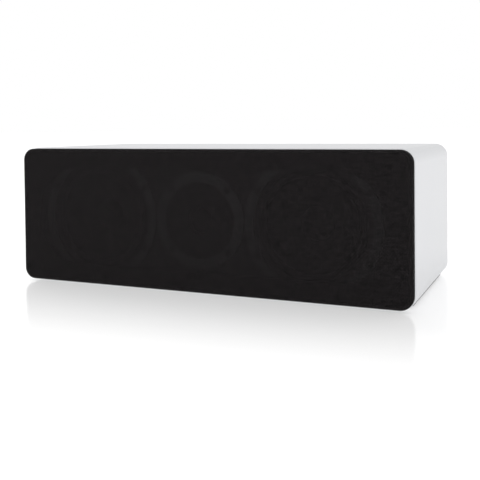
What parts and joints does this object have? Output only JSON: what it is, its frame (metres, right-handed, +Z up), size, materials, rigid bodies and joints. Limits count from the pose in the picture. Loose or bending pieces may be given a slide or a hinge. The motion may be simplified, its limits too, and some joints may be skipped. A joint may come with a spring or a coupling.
{
  "type": "center channel speaker",
  "caption": "Low wide hi-fi loudspeaker with a removable cloth grille over woofers and a dome tweeter, a rear port and recessed binding posts",
  "frame": {"origin": "middle of the footprint, on the surface that the feet stand on", "axes": "+X to the right seen from the front, +Y from the grille to the back, +Z up"},
  "size_m": [0.458, 0.2154, 0.1565],
  "materials": {
    "cabinet_white": "satin",
    "raw_board": "matte",
    "grille_fabric": "matte",
    "black_plastic": "matte",
    "rubber": "matte",
    "cast_aluminium": "satin",
    "cone_paper": "matte",
    "spider_cloth": "matte",
    "dome_cloth": "satin",
    "coil_copper": "satin",
    "motor_steel": "satin",
    "ferrite": "matte",
    "screw_steel": "satin",
    "post_brass": "polished",
    "knob_red": "gloss",
    "knob_black": "gloss",
    "circuit_board": "satin",
    "capacitor_film": "gloss",
    "resistor_ceramic": "matte"
  },
  "bodies": {
    "cabinet": {"brace_left": "raw_board", "brace_right": "raw_board", "cabinet_wrap": "cabinet_white", "capacitors": "capacitor_film", "crossover_board": "circuit_board", "crossover_screws": "screw_steel", "crossover_standoffs": "black_plastic", "front_baffle": "cabinet_white", "grille_sockets": "rubber", "port_tube": "black_plastic", "post_nuts": "post_brass", "post_stud_black": "post_brass", "post_stud_red": "post_brass", "power_resistor": "resistor_ceramic", "rear_panel": "cabinet_white", "rubber_feet": "rubber", "terminal_cup": "black_plastic", "terminal_cup_screws": "screw_steel", "tweeter_dome": "dome_cloth", "tweeter_faceplate": "black_plastic", "tweeter_front_plate": "motor_steel", "tweeter_inductor": "coil_copper", "tweeter_magnet": "ferrite", "tweeter_ring": "cast_aluminium", "tweeter_screws": "screw_steel", "tweeter_voice_coil": "coil_copper", "tweeter_yoke": "motor_steel", "woofer_inductor": "coil_copper", "woofer_left_basket": "cast_aluminium", "woofer_left_magnet": "ferrite", "woofer_left_screws": "screw_steel", "woofer_left_spider": "spider_cloth", "woofer_left_surround": "rubber", "woofer_left_top_plate": "motor_steel", "woofer_left_yoke": "motor_steel", "woofer_right_basket": "cast_aluminium", "woofer_right_magnet": "ferrite", "woofer_right_screws": "screw_steel", "woofer_right_spider": "spider_cloth", "woofer_right_surround": "rubber", "woofer_right_top_plate": "motor_steel", "woofer_right_yoke": "motor_steel"},
    "grille": {"grille_cloth": "grille_fabric", "grille_frame": "black_plastic"},
    "knob_black": {"post_knob_black": "knob_black"},
    "knob_red": {"post_knob_red": "knob_red"},
    "washer_black": {"post_washer_black": "post_brass"},
    "washer_red": {"post_washer_red": "post_brass"},
    "cone_left": {"woofer_left_cone": "cone_paper", "woofer_left_dust_cap": "cone_paper", "woofer_left_voice_coil": "coil_copper"},
    "cone_right": {"woofer_right_cone": "cone_paper", "woofer_right_dust_cap": "cone_paper", "woofer_right_voice_coil": "coil_copper"}
  },
  "joints": [
    {"name": "grille_pull", "type": "slide", "parent": "cabinet", "child": "grille", "axis": [0, -1, 0], "range_m": [0, 0.06]},
    {"name": "woofer_left_stroke", "type": "slide", "parent": "cabinet", "child": "cone_left", "axis": [0, -1, 0], "range_m": [-0.004, 0.004], "stiffness_N_per_m": 1000, "deforming": ["woofer_left_surround", "woofer_left_spider"]},
    {"name": "woofer_right_stroke", "type": "slide", "parent": "cabinet", "child": "cone_right", "axis": [0, -1, 0], "range_m": [-0.004, 0.004], "stiffness_N_per_m": 1000, "deforming": ["woofer_right_surround", "woofer_right_spider"]},
    {"name": "post_red_travel", "type": "slide", "parent": "cabinet", "child": "washer_red", "axis": [0, 1, 0], "range_m": [0, 0.0048]},
    {"name": "post_red_turn", "type": "hinge", "parent": "washer_red", "child": "knob_red", "pos_m": [-0.0095, 0.08275, 0.079], "axis": [0, 1, 0], "range_deg": [0, 2160]},
    {"name": "post_black_travel", "type": "slide", "parent": "cabinet", "child": "washer_black", "axis": [0, 1, 0], "range_m": [0, 0.0048]},
    {"name": "post_black_turn", "type": "hinge", "parent": "washer_black", "child": "knob_black", "pos_m": [0.0095, 0.08275, 0.079], "axis": [0, 1, 0], "range_deg": [0, 2160]}
  ],
  "couplings": [
    {"joint": "post_red_turn", "follows": "post_red_travel", "rad_per_m": 7853.9},
    {"joint": "post_black_turn", "follows": "post_black_travel", "rad_per_m": 7853.9}
  ]
}
